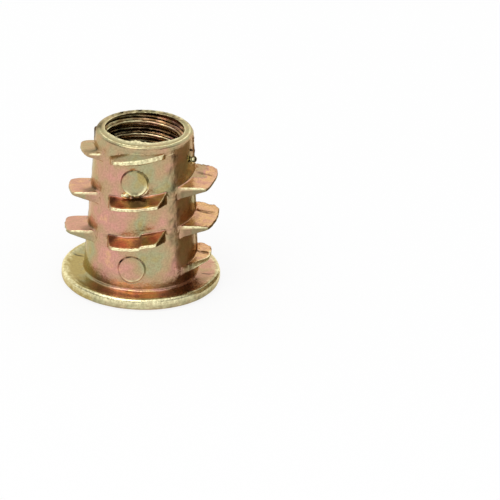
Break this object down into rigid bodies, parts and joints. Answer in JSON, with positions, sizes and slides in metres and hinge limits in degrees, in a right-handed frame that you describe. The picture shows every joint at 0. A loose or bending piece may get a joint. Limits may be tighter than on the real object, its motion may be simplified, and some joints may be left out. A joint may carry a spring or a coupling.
{
  "type": "threaded insert",
  "caption": "Flanged die-cast insert for wood with a coarse outer thread of separate fins, a hex drive socket and a bore for a machine screw.",
  "frame": {"origin": "centre of the flange's flat face", "axes": "+Z along the bore, from the flange towards the open end; -Y is the side of the casting with the ejector marks, and the fins lie in front, behind and at both sides"},
  "size_m": [0.0148, 0.0146, 0.015],
  "materials": {
    "yellow_passivated_zinc": "satin casting with a yellow, faintly iridescent passivation"
  },
  "bodies": {
    "root": {"threaded_insert": "yellow_passivated_zinc"}
  },
  "joints": []
}
